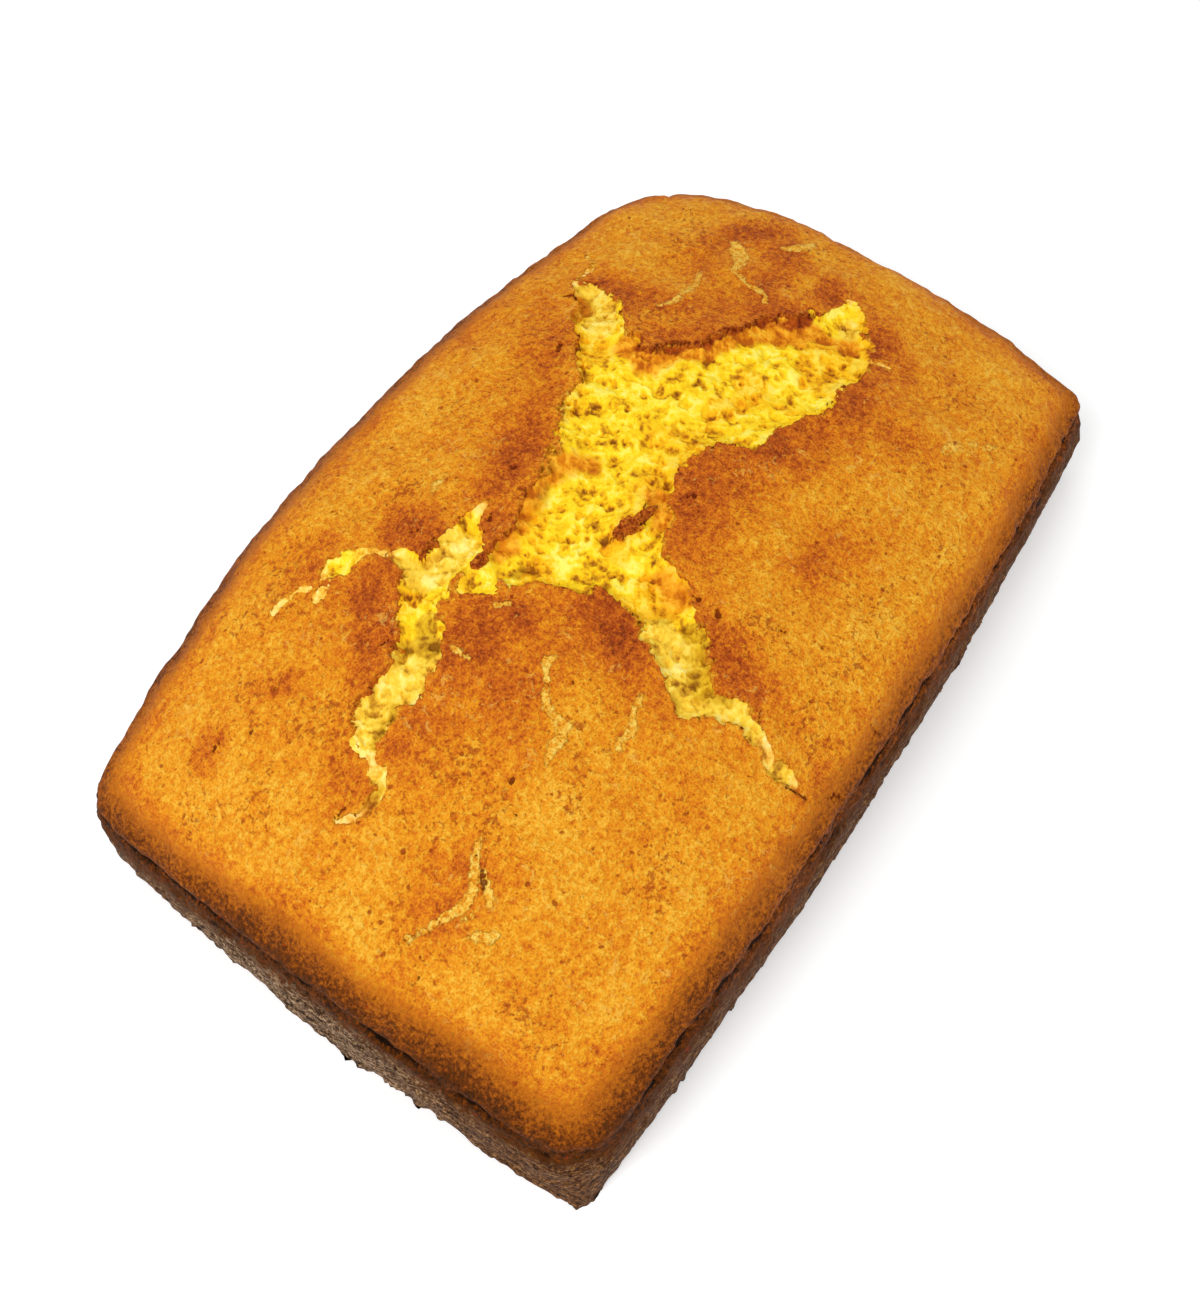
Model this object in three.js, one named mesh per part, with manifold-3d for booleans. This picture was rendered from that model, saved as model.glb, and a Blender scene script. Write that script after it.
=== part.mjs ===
// A loaf of cornbread turned out of an oblong loaf pan, with the crust of its domed top
// torn open in a branching crack that shows the crumb. One solid piece.
// Millimetres, +Z up, +X along the loaf. The loaf stands on its flat base.

import * as THREE from 'three';
import { mergeVertices } from 'three/addons/utils/BufferGeometryUtils.js';
import Module from 'manifold-3d';

// Plan: an oblong as seen from above, whose four sides bow outwards.
const LENGTH = 196;
const WIDTH = 117;
const BOW = { minusX: 3.5, plusX: 5, minusY: 4.5, plusY: 9 };
const BASE_FLARE = 1;
const BASE_BOW = { minusX: 3.5, plusX: 5, minusY: 3.5, plusY: 9 };
// Corner radii in the order (+X +Y), (-X +Y), (-X -Y), (+X -Y).
const WAIST_RADII = [23, 8, 11, 6.5];
const BASE_RADII = [16, 2, 2, 3];

// Heights: the crust's rim is arched along each side, and the top is domed on it.
const WAIST_HEIGHT = 13.5;
const CORNER_HEIGHT = 26;
const ARCH_ALONG_X = 13;
const ARCH_ALONG_Y = 4.5;
const DOME = 9;
const DOME_CENTRE = -0.22;
const DOME_POWER = [2.2, 2.3];
const SHOULDER = 12;
const SHOULDER_POWER = 2.5;
const CORNER_SOFTNESS = 5;

// Relief of the sides: a furrow below the crust, swelling, and crumbs round the base.
const FURROW_DEPTH = { least: 0.5, most: 0.9 };
const FURROW_DROP = 0.5;
const WALL_HEIGHTS = [0, 1.6, 6, 10.6];
const WALL_ROUGHNESS = 0.35;
const FLAKE = { inward: 0.54, outward: 0.36, top: 6 };
const SWELL = 0.45;

// Mesh steps: the rounding of the shoulder in degrees, and the grid on the top.
// The furrow follows the shoulder's station of that number, counted from the rim.
const SHOULDER_STEPS = [0, 3, 12, 25, 37, 43, 49, 59, 73, 90];
const FURROW_STATION = 5;
const TOP_STEP = 4;

// The crack: each branch is a run of stations (u, v, half width) on the oblong.
const BRANCHES = [
  [[-23.5, 11.5, 2], [-20, 9.5, 5], [-15, 8, 6.4], [-5, 8.3, 8.2], [3, 8.8, 9.6],
    [10, 9.3, 10.8], [19, 11.3, 13.4], [28, 4.8, 13.9], [36, 1.6, 11.8], [44, -1.6, 12.4],
    [52, -3.8, 10.9], [58.6, -5.8, 8.4], [64, -5.6, 5], [68, -5.6, 3.8], [72, -5, 1.8],
    [74.5, -4, 0.4]],
  [[22, 15, 7], [30, 24, 6], [36, 30, 4.6], [40, 33, 4.3], [43, 36.5, 3.3], [44, 39, 2.2],
    [45, 41.3, 0.9]],
  [[-12, 20.4, 0.4], [-15, 20.8, 1.2], [-18, 20.2, 2.3], [-22, 19.3, 3.4], [-27, 19.5, 4.2],
    [-31, 20.2, 4.2], [-35, 19, 2.8], [-38.5, 16.5, 3.2], [-41, 14.2, 4], [-44, 13.4, 4.1],
    [-48, 12.8, 3.9], [-52, 13.6, 3.4], [-56, 13.6, 3.3], [-59.5, 12.2, 2.5], [-61.3, 9.5, 1.3],
    [-62.3, 6.8, 1.7], [-63.5, 5.4, 1.9], [-67, 5.9, 1.2], [-69.5, 6.4, 1], [-71, 7.6, 0.6]],
  [[-28.5, 22, 3], [-29, 27.5, 1.4], [-30, 30.5, 1.2], [-31.5, 32.8, 1.1], [-34, 33.6, 1.3],
    [-36.5, 34.8, 1.5], [-38.3, 35.8, 0.6]],
  [[-47.5, 38.9, 0.6], [-45, 38, 0.6], [-43.6, 36.8, 1.1], [-42.5, 35.5, 0.6]],
  [[-8, 5, 6], [-9, -5, 6.5], [-9.4, -8, 6.6], [-10.5, -12, 6], [-13, -15, 5.3],
    [-15.6, -18, 5.5], [-17.3, -20, 5.7], [-19, -22.5, 5], [-21.2, -25, 4.6], [-22.5, -27, 4],
    [-21.8, -30, 2.6], [-20.2, -33, 2.9], [-20.8, -36, 2.2], [-21.2, -38, 1.6],
    [-21.8, -40.3, 0.8], [-24, -42.5, 1.4], [-23.6, -44.5, 1.8], [-23.5, -46.5, 0.9]],
  [[-4, -4.5, 3.6], [1, -3.6, 2.6], [5, -1.6, 2.2], [8, 0.5, 2]],
];
const CRACK_DEPTH = 3.2;
const TIP_DEPTH = 1.6;
const CRACK_CENTRE = [12, 6];
const CRACK_REACH = 85;
const CRACK_LUMPS = 0.5;
const CRACK_STEP = 3;
const CRACK_RAGGED = 0.45;

// The floor of the crack is a grid over this part of the oblong.
const FLOOR_CORNER = [-84, -52];
const FLOOR_COUNTS = [43, 24];
const FLOOR_STEP = 4;
const LUMP_SCALE = 3.1;

const HALF_X = LENGTH / 2;
const HALF_Y = WIDTH / 2;
const CLEAR_TOP = 75;

let seed = 20;
function random() {
  seed = (seed * 1664525 + 1013904223) % 4294967296;
  return seed / 4294967296;
}

// Slow swelling of the crust, from crossing waves.
function swell(x, y) {
  const long = Math.sin(x * 0.11 + 0.7 * Math.sin(y * 0.09)) * Math.cos(y * 0.13 + 0.4);
  const short = Math.sin(x * 0.31 + y * 0.17) * Math.sin(y * 0.27 - x * 0.12 + 1);
  return long + 0.6 * short;
}

// Rounds a corner of the ring of the oblong that passes through (u, v).
function roundCorner(u, v, halfX, halfY, radii) {
  const corner = v > 0 ? (u > 0 ? 0 : 1) : (u > 0 ? 3 : 2);
  const inset = Math.min(halfX - Math.abs(u), halfY - Math.abs(v));
  const sideX = halfX - inset;
  const sideY = halfY - inset;
  const radius = Math.max(Math.min(radii[corner] - inset, sideX, sideY), 0);
  const overX = Math.abs(u) - (sideX - radius);
  const overY = Math.abs(v) - (sideY - radius);
  if (radius === 0 || overX <= 0 || overY <= 0) return [u, v];
  const scale = radius / Math.hypot(overX, overY);
  return [
    Math.sign(u) * (sideX - radius + overX * scale),
    Math.sign(v) * (sideY - radius + overY * scale),
  ];
}

function bowOut(u, v, halfX, halfY, bow) {
  const alongX = (u < 0 ? bow.minusX : bow.plusX) * (1 - (v / halfY) ** 2);
  const alongY = (v < 0 ? bow.minusY : bow.plusY) * (1 - (u / halfX) ** 2);
  return [u * (1 + alongX / halfX), v * (1 + alongY / halfY)];
}

// Plan position of a point (u, v) of the oblong, at and above the waist.
function plan(u, v) {
  const [ru, rv] = roundCorner(u, v, HALF_X, HALF_Y, WAIST_RADII);
  return bowOut(ru, rv, HALF_X, HALF_Y, BOW);
}

// Height of the uncracked crust over a point (u, v) of the oblong.
function crustHeight(u, v) {
  const [ru, rv] = roundCorner(u, v, HALF_X, HALF_Y, WAIST_RADII);
  const across = ru / HALF_X - DOME_CENTRE;
  const nx = Math.abs(across) / (across > 0 ? 1 - DOME_CENTRE : 1 + DOME_CENTRE);
  const ny = Math.abs(rv) / HALF_Y;
  const dome = DOME * (1 - nx ** DOME_POWER[0]) * (1 - ny ** DOME_POWER[1]);
  const arch = ARCH_ALONG_X * (1 - nx ** 2) + ARCH_ALONG_Y * (1 - ny ** 2);
  const insetX = Math.max(HALF_X - Math.abs(u), 0);
  const insetY = Math.max(HALF_Y - Math.abs(v), 0);
  if (insetX === 0 || insetY === 0) return WAIST_HEIGHT;
  const softness = CORNER_SOFTNESS;
  const inset = (insetX ** -softness + insetY ** -softness) ** (-1 / softness);
  const fall = Math.max(1 - inset / SHOULDER, 0) ** SHOULDER_POWER;
  const rise = (1 - fall) ** (1 / SHOULDER_POWER);
  const height = CORNER_HEIGHT + arch + dome + SWELL * swell(u, v) - WAIST_HEIGHT;
  return WAIST_HEIGHT + height * rise;
}

// Stations along one axis of the oblong: crowded on the shoulders, even between them.
function stations(half) {
  const power = 2 / SHOULDER_POWER;
  const rim = SHOULDER_STEPS.map((angle) => {
    const cosine = Math.max(Math.cos(THREE.MathUtils.degToRad(angle)), 0);
    return half - SHOULDER * (1 - cosine ** power);
  });
  const inner = half - SHOULDER;
  const count = Math.round(2 * inner / TOP_STEP);
  const middle = [];
  for (let i = 1; i < count; i++) middle.push(-inner + 2 * inner * i / count);
  return [...rim.map((value) => -value), ...middle, ...rim.reverse()];
}

function toSolid(positions, indices) {
  let geometry = new THREE.BufferGeometry();
  geometry.setAttribute('position', new THREE.Float32BufferAttribute(positions, 3));
  geometry.setIndex(indices);
  geometry = mergeVertices(geometry);
  return new wasm.Manifold(new wasm.Mesh({
    numProp: 3,
    vertProperties: new Float32Array(geometry.attributes.position.array),
    triVerts: new Uint32Array(geometry.index.array),
  }));
}

// The uncracked loaf: the crust as a grid, the sides as rings under it, and a flat base.
function makeLoaf() {
  const us = stations(HALF_X);
  const vs = stations(HALF_Y);
  const positions = [];
  const indices = [];
  const at = (i, j) => i * vs.length + j;
  for (let i = 0; i < us.length; i++) {
    for (let j = 0; j < vs.length; j++) {
      const [x, y] = plan(us[i], vs[j]);
      const ring = Math.min(i, j, us.length - 1 - i, vs.length - 1 - j);
      const { least, most } = FURROW_DEPTH;
      const furrow = ring === FURROW_STATION ? THREE.MathUtils.lerp(least, most, random()) : 0;
      const reach = 1 - furrow / Math.hypot(x, y);
      positions.push(x * reach, y * reach, crustHeight(us[i], vs[j]) - FURROW_DROP * furrow);
    }
  }
  for (let i = 0; i + 1 < us.length; i++) {
    for (let j = 0; j + 1 < vs.length; j++) {
      const [a, b, c, d] = [at(i, j), at(i + 1, j), at(i + 1, j + 1), at(i, j + 1)];
      const sameSign = (us[i] + us[i + 1]) * (vs[j] + vs[j + 1]) > 0;
      if (sameSign) indices.push(a, b, c, a, c, d);
      else indices.push(a, b, d, b, c, d);
    }
  }

  const edge = [];
  for (let i = 0; i + 1 < us.length; i++) edge.push([i, 0]);
  for (let j = 0; j + 1 < vs.length; j++) edge.push([us.length - 1, j]);
  for (let i = us.length - 1; i > 0; i--) edge.push([i, vs.length - 1]);
  for (let j = vs.length - 1; j > 0; j--) edge.push([0, j]);

  let ring = edge.map(([i, j]) => at(i, j));
  for (const z of [...WALL_HEIGHTS].reverse()) {
    const mix = z / WAIST_HEIGHT;
    const next = edge.map(([i, j]) => {
      const [wx, wy] = plan(us[i], vs[j]);
      const halfX = HALF_X + BASE_FLARE;
      const halfY = HALF_Y + BASE_FLARE;
      const [ru, rv] = roundCorner(
        us[i] * halfX / HALF_X, vs[j] * halfY / HALF_Y, halfX, halfY, BASE_RADII);
      const [bx, by] = bowOut(ru, rv, halfX, halfY, BASE_BOW);
      const x = bx + (wx - bx) * mix;
      const y = by + (wy - by) * mix;
      const flaky = THREE.MathUtils.lerp(-FLAKE.inward, FLAKE.outward, random());
      const out = WALL_ROUGHNESS * swell(x + 3 * z, y - 2 * z) + (z < FLAKE.top ? flaky : 0);
      const reach = 1 + out / Math.hypot(x, y);
      positions.push(x * reach, y * reach, z);
      return positions.length / 3 - 1;
    });
    for (let k = 0; k < ring.length; k++) {
      const n = (k + 1) % ring.length;
      indices.push(next[k], next[n], ring[n], next[k], ring[n], ring[k]);
    }
    ring = next;
  }
  const outline = ring.map((k) => new THREE.Vector2(positions[3 * k], positions[3 * k + 1]));
  for (const [a, b, c] of THREE.ShapeUtils.triangulateShape(outline, [])) {
    indices.push(ring[a], ring[c], ring[b]);
  }
  return toSolid(positions, indices);
}

// An upright prism over one branch of the crack, with ragged edges.
function branchPrism(branch) {
  const curve = new THREE.CatmullRomCurve3(branch.map((s) => new THREE.Vector3(...s)));
  const count = Math.ceil(curve.getLength() / CRACK_STEP);
  const left = [];
  const right = [];
  for (let k = 0; k <= count; k++) {
    const p = curve.getPointAt(k / count);
    const direction = curve.getTangentAt(k / count).setZ(0).normalize();
    for (const [side, points] of [[1, left], [-1, right]]) {
      const half = Math.max(p.z, 0.2) * (1 + CRACK_RAGGED * (random() - 0.5) / (1 + p.z / 3));
      points.push(new THREE.Vector2(
        ...plan(p.x - side * half * direction.y, p.y + side * half * direction.x)));
    }
  }
  const shape = new THREE.Shape([...right, ...left.reverse()]);
  const prism = new THREE.ExtrudeGeometry(shape, { depth: CLEAR_TOP, bevelEnabled: false });
  prism.deleteAttribute('normal');
  prism.deleteAttribute('uv');
  const merged = mergeVertices(prism);
  return toSolid(merged.attributes.position.array, Array.from(merged.index.array));
}

// Everything above the lumpy floor of the crack.
function aboveFloor() {
  const counts = FLOOR_COUNTS;
  const positions = [];
  const indices = [];
  const at = (i, j, top) => 2 * (i * (counts[1] + 1) + j) + top;
  for (let i = 0; i <= counts[0]; i++) {
    for (let j = 0; j <= counts[1]; j++) {
      const [u, v] = [FLOOR_CORNER[0] + i * FLOOR_STEP, FLOOR_CORNER[1] + j * FLOOR_STEP];
      const away = Math.hypot(u - CRACK_CENTRE[0], v - CRACK_CENTRE[1]) / CRACK_REACH;
      const depth = THREE.MathUtils.lerp(CRACK_DEPTH, TIP_DEPTH, Math.min(away, 1));
      const lumps = CRACK_LUMPS * swell(LUMP_SCALE * u, LUMP_SCALE * v);
      const [x, y] = plan(u, v);
      positions.push(x, y, crustHeight(u, v) - depth + lumps, x, y, CLEAR_TOP + 1);
    }
  }
  for (let i = 0; i < counts[0]; i++) {
    for (let j = 0; j < counts[1]; j++) {
      const [a, b, c, d] = [[i, j], [i + 1, j], [i + 1, j + 1], [i, j + 1]];
      indices.push(at(...a, 0), at(...c, 0), at(...b, 0), at(...a, 0), at(...d, 0), at(...c, 0));
      indices.push(at(...a, 1), at(...b, 1), at(...c, 1), at(...a, 1), at(...c, 1), at(...d, 1));
    }
  }
  const side = (a, b) => {
    indices.push(at(...a, 0), at(...b, 0), at(...b, 1), at(...a, 0), at(...b, 1), at(...a, 1));
  };
  for (let i = 0; i < counts[0]; i++) {
    side([i, 0], [i + 1, 0]);
    side([i + 1, counts[1]], [i, counts[1]]);
  }
  for (let j = 0; j < counts[1]; j++) {
    side([counts[0], j], [counts[0], j + 1]);
    side([0, j + 1], [0, j]);
  }
  return toSolid(positions, indices);
}

const wasm = await Module();
wasm.setup();

const crack = BRANCHES.map(branchPrism).reduce((sum, branch) => sum.add(branch));
const cracked = makeLoaf().subtract(crack.intersect(aboveFloor()));
const mesh = cracked.getMesh();
const surface = new THREE.BufferGeometry();
surface.setAttribute('position', new THREE.BufferAttribute(mesh.vertProperties, 3));
surface.setIndex(new THREE.BufferAttribute(mesh.triVerts, 1));
surface.computeBoundingBox();
const centre = surface.boundingBox.getCenter(new THREE.Vector3());
surface.translate(-centre.x, -centre.y, 0);
surface.computeVertexNormals();

const loaf = new THREE.Mesh(surface, new THREE.MeshStandardMaterial({
  color: '#d98a26',
  roughness: 0.75,
  metalness: 0,
}));
loaf.name = 'cornbread';

const group = new THREE.Group();
group.add(loaf);

export default group;
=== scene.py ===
import math
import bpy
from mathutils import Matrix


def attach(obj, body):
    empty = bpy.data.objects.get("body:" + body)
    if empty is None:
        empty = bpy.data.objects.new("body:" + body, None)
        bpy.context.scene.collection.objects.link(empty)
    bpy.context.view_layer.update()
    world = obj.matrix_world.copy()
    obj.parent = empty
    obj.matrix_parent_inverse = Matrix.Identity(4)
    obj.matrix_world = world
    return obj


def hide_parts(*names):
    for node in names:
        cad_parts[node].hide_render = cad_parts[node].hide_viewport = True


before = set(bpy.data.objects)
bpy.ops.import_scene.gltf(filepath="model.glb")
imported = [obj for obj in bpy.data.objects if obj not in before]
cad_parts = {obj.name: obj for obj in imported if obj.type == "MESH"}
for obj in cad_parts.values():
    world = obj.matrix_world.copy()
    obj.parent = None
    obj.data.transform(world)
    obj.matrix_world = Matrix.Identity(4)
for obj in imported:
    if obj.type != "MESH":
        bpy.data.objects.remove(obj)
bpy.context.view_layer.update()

from types import SimpleNamespace

import bpy
import numpy as np
from mathutils import Matrix, Vector

MM_PER_METRE = 1000.0

# Sizes of the loaf, in millimetres, the same as the solid's.
LENGTH, WIDTH = 196.0, 117.0
HALF_X, HALF_Y = LENGTH / 2, WIDTH / 2
CENTRE = (0.617, 2.858)                    # the middle of the finished outline, from the oblong's
BOW = (3.5, 5.0, 4.5, 9.0)                 # how far the -X, +X, -Y and +Y sides bulge
BASE_BOW = (3.5, 5.0, 3.5, 9.0)
BASE_FLARE = 1.0
WAIST_RADII = (23.0, 8.0, 11.0, 6.5)       # corners (+X +Y), (-X +Y), (-X -Y), (+X -Y)
BASE_RADII = (16.0, 2.0, 2.0, 3.0)
WAIST = 13.5                               # height at which the shoulder starts
CORNER_HEIGHT, ARCH_X, ARCH_Y, DOME = 26.0, 13.0, 4.5, 9.0
DOME_CENTRE, DOME_POWER = -0.22, (2.2, 2.3)
SHOULDER, SHOULDER_POWER, CORNER_SOFTNESS = 12.0, 2.5, 5.0
SWELL = 0.45

# All marks are runs of stations (u, v, half width) over the oblong, seen from above.
# First the split's branches.
BRANCHES = [
    [(-28, 14.8, 1.5), (-26, 13.3, 1.9), (-23, 11.9, 2.8), (-18.5, 9.8, 5), (-14, 8.4, 6.4),
     (-5, 8.3, 8.2), (3, 8.6, 9.4), (10, 8.6, 10.4), (20, 11, 13.2), (29, 6.5, 12.5), (36, 1.6, 11.8),
     (44, -1.6, 12.4), (52, -3.8, 10.9), (58.6, -6.4, 9), (62.5, -8.8, 5), (64, -5.9, 5), (68, -5.8, 3.9),
     (71, -5.2, 2.6), (73, -3.8, 0.7)],
    [(27.8, -4, 5.2), (33, -4, 5.6)],
    [(22, 16, 7.4), (30, 24, 6), (36, 30, 4.6), (40, 33, 4.3), (43.2, 36.2, 2.9), (44, 39, 2.2),
     (45, 41.3, 0.9), (49, 41.5, 0.3), (53, 42.5, 0.5), (55, 46, 0.2)],
    [(-12, 20.4, 0.3), (-15, 20.8, 1.2), (-18, 20.1, 2.3), (-22, 19, 3.7), (-27, 19.4, 4.2),
     (-31, 20.2, 4.2), (-35, 19, 2.8), (-38.5, 16.5, 3.2), (-41, 14.2, 4.0), (-44, 13.4, 4.1),
     (-48, 12.8, 3.9), (-52, 13.6, 3.4), (-56, 13.6, 3.3), (-59, 12.6, 2.2), (-60.9, 9.8, 0.5),
     (-62, 7.6, 1.3), (-63.8, 5.8, 1.6), (-66.8, 5.8, 1.1), (-69.2, 6.6, 0.8), (-70.8, 7.8, 0.5),
     (-71.8, 9, 0.2)],
    [(-29.3, 25, 2.2), (-30.2, 27.5, 1.2), (-30.8, 29.8, 0.7), (-31.2, 31.5, 0.9), (-33.5, 33, 1.3),
     (-36.5, 34.4, 1.8), (-38.8, 35.4, 1.2), (-40, 35.8, 0.4)],
    [(-45, 34, 0.3), (-43.2, 34.1, 0.9), (-41, 33.9, 0.6), (-40, 34.2, 0.3)],
    [(-50, 39.4, 0.1), (-47.5, 38.9, 0.35), (-45.2, 38, 0.3), (-43.4, 37, 0.9), (-42.6, 35.8, 0.4)],
    [(-15.6, 5, 5.4), (-11, -1.5, 5.3), (-9.6, -5.5, 6.2), (-9.8, -8.5, 6.3), (-11, -12, 6.0),
     (-12.6, -15, 5.2), (-14.8, -18, 5.2), (-16.8, -20, 5.1), (-19.2, -22.5, 4.4),
     (-21.2, -25, 4.2), (-22.2, -27, 3.8), (-21.3, -30, 2.5), (-20.3, -33, 2.5), (-20.6, -36, 2),
     (-20.9, -38, 1.4), (-21.6, -40.3, 0.7), (-24, -42.5, 1.4), (-23.6, -44.5, 1.8),
     (-23.5, -46.5, 0.9)],
    [(-4, -4.5, 3.6), (1, -3.6, 2.6), (5, -1.6, 2.2), (8, 0.5, 2)],
    [(60.8, -14.5, 0.8), (61.6, -16.5, 0.4), (62.5, -18.5, 0.2)],
]
# Thin pale cracks in the crust.
FINE_CRACKS = [
    [(-79.5, -11.2, 0.4), (-77, -13.2, 0.7), (-74, -14.4, 0.6), (-71.5, -16, 0.9), (-68.5, -16, 0.8),
     (-66.5, -15, 0.5), (-64.5, -13.6, 0.7), (-62.5, -12.6, 0.6), (-61, -12.2, 0.3)],
    [(-65.2, -15.6, 0.5), (-67, -18, 0.6), (-68.5, -19.4, 0.5)],
    [(-73.6, -20.4, 0.5), (-72.8, -22, 0.8), (-71.6, -23.2, 0.4)],
    [(-72.6, -17.2, 0.3), (-71, -18.6, 0.3)],
    [(-45.5, -13.9, 0.3), (-43.5, -13.4, 0.8), (-41, -13.3, 0.9), (-39.2, -12.4, 1.0),
     (-38.6, -10.6, 0.5), (-37.8, -8.6, 0.7), (-36.4, -7.2, 0.8), (-34.6, -6.4, 0.5),
     (-33, -5, 0.9), (-31.8, -4.4, 0.8), (-30.2, -5, 0.3)],
    [(-36.9, -21.6, 0.6), (-35.5, -21.2, 0.5), (-33, -21.8, 0.4), (-31.4, -20.8, 0.3),
     (-29.6, -19.9, 0.5), (-27, -19.8, 0.3)],
    [(61, 9.2, 0.3), (62.6, 10, 0.4), (63.4, 12, 0.6), (63.6, 14.5, 0.4), (65, 17.2, 0.5),
     (65.5, 18.8, 0.5), (68, 19.4, 0.8), (71, 20.6, 1.6), (73.5, 22.5, 1.5), (75, 24.5, 0.7),
     (75.4, 27, 0.4)],
    [(79.5, 15.5, 0.4), (81.5, 13.4, 0.8), (83.5, 12.2, 0.9), (86, 12, 0.5), (88, 11.5, 0.3)],
    [(52, -36.4, 0.6), (54.5, -37, 0.9), (56, -38, 0.3)], [(58, -39.5, 0.4), (59, -40.6, 0.3)],
    [(60, -42.5, 0.5), (62, -44, 0.4)],
    [(46, 24, 0.3), (49, 22.5, 0.6), (52, 22.4, 0.4), (55, 22, 0.6), (58, 22.5, 0.5), (61, 23.5, 0.3)],
    [(-38.5, 9.3, 0.4), (-38.8, 5, 0.15)], [(-28, 8.2, 0.2), (-26.6, 6.6, 0.3)],
    [(-17, 29, 0.15), (-14, 30, 0.2), (-12.6, 28.8, 0.15)],
]
# Short dark slits and pits in the crust, their dark partly a painted shade in them.
DARK_SLITS = [
    [(-46.4, 20.3, 0.2), (-44.6, 19.8, 0.4), (-42.6, 18.8, 0.3)],
    [(-76, 34.4, 0.2), (-74, 34.8, 0.5), (-72.4, 34.2, 0.2)], [(-60.8, 31, 0.6), (-59.6, 30.6, 0.4)],
    [(-24.6, 27.8, 0.5), (-23.8, 27, 0.5)], [(-41.8, 35, 0.4), (-40.8, 35.8, 0.4)],
    [(-15.4, 18.2, 0.6), (-14, 18.8, 0.5)], [(4.6, -7.6, 0.2), (7.8, -8.2, 0.3)],
    [(18.6, -8.6, 0.3), (21.8, -9.2, 0.2)], [(-72, 9.6, 0.3), (-70, 9.2, 0.5), (-68.3, 8.6, 0.3)],
    [(-68.6, 30.4, 0.5), (-68.2, 30.2, 0.4)], [(72, -0.4, 0.4), (73, -0.8, 0.5)],
    [(-5, -51.4, 0.3), (-5.2, -52.8, 0.7), (-4.8, -54, 0.3)], [(-7, -52.6, 0.3), (-5.2, -52.8, 0.5)],
    [(-21, -52.6, 0.5), (-19.6, -53, 0.6), (-18.4, -54, 0.3)], [(-9.8, -41.6, 0.3), (-9.4, -42.2, 0.3)],
    [(-67.6, -17.3, 0.2), (-66.2, -16.6, 0.8), (-65, -15.4, 0.5)],
    [(-64, -13.6, 0.3), (-62.6, -12.8, 0.4), (-61, -12.4, 0.2)],
    [(-80, -11, 0.5), (-78.6, -12, 0.3)], [(-73.6, -15.2, 0.3), (-72.6, -15.8, 0.3)],
    [(-57, -15.5, 0.2), (-55, -14.7, 0.4), (-53.2, -14, 0.2)],
    [(-48, -13.6, 0.3), (-46, -13.8, 0.3)], [(-40.4, -12.8, 0.3), (-39.6, -12, 0.3)],
    [(-85.5, -16, 0.3), (-83.5, -16.4, 0.4), (-82, -16, 0.2)],
    [(-20.2, -39.2, 0.4), (-18.8, -37, 0.5), (-17, -36.2, 0.4)],
    [(-25.2, -45.6, 0.5), (-24.6, -47.6, 0.6), (-24.2, -49.6, 0.5)],
    [(0, -38.4, 0.4), (0.8, -40, 0.4), (1.6, -41.4, 0.3)],
    [(-20.6, 9.8, 0.4), (-19.8, 8.6, 0.7), (-18.8, 7, 0.3)],
    [(25, 31.4, 0.6), (26.6, 31.8, 0.7)], [(27.4, 28.8, 0.7), (28.2, 27.6, 0.8)],
    [(9.2, -5.2, 0.7), (9.8, -6, 0.6)], [(-2.6, -31.4, 0.6), (-2.4, -32, 0.5)],
    [(-7.4, -21.8, 0.8), (-6.9, -21.2, 0.6)], [(-7, -17.6, 0.7), (-6.9, -16.6, 0.5)],
    [(-51.2, -11, 0.6), (-50.6, -10.9, 0.6)], [(-32.4, -9.8, 0.4), (-32.1, -9.6, 0.4)],
    [(-90.3, -12.2, 0.5), (-89.6, -12.4, 0.5)], [(-3.6, 21.4, 0.5), (-3, 21.2, 0.6)],
    [(33, -36, 0.3), (36, -37.6, 0.3)], [(39.8, 40.2, 0.5), (41.4, 38, 0.9)],
    [(-15, -10, 0.3), (-14.8, -9, 0.5)], [(-33, -1, 0.4), (-31, 0.2, 0.3)],
    [(-26, 8, 0.3), (-24, 9.2, 0.3)],
]
# Browned patches of the crust, and the darkest places in them. Beside the split their brown is partly a
# painted shade of slopes and overhangs.
BROWNED_AND_SHADED = [
    [(-2, -8.5, 2.5), (8, -8, 3.5), (22, -9, 4.5), (30, -14, 4), (42, -17, 3.5), (60, -19, 2)],
    [(-19, -2, 2.5), (-19.5, -8, 3.5), (-21, -14, 3)], [(-13, -26, 2.5), (-14, -32, 1.5)],
    [(-10, 21, 2.5), (0, 22, 3), (8, 25, 3), (20, 30, 2.4), (32, 37, 2), (38, 42, 1.5)],
    [(48, 31, 2), (48, 25, 2), (54, 16, 0.8), (64, 6, 1), (72, 1, 1)],
    [(64, -12, 2), (68, -13.5, 2.5), (66, -19, 1)],
    [(-26, 11, 2), (-34, 9, 4), (-45, 5, 3), (-56, 6.5, 2.5)], [(-66, 10, 2), (-70, 10, 1)],
    [(-25, 27, 2), (-22, 30, 1)], [(-36, 28, 2.5), (-44, 23, 2), (-50, 20, 0.8)],
    [(-40, 37.5, 1.5), (-35, 38, 2)], [(68, 14, 3), (74, 14, 3), (79, 18, 1.5)],
    [(76, 26.5, 1.2), (80, 24, 1.2), (84, 20, 1)], [(48, -28, 3), (52, -24, 2)],
    [(-19, 16, 1.5), (-14, 17.3, 1.6), (-9, 18.5, 1.5)], [(-44, 19.5, 1), (-48, 18.8, 0.6)],
    [(-47, -6.5, 2.5), (-38, -1, 4), (-28, -5, 4)], [(-76, -13, 2), (-66, -15, 2.5)],
    [(0, -13, 3), (9, -13, 3)],
    [(62, 24, 1.5), (71, 27, 2)], [(11, -29, 0.2), (20, -30, 0.2)],
]
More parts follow.
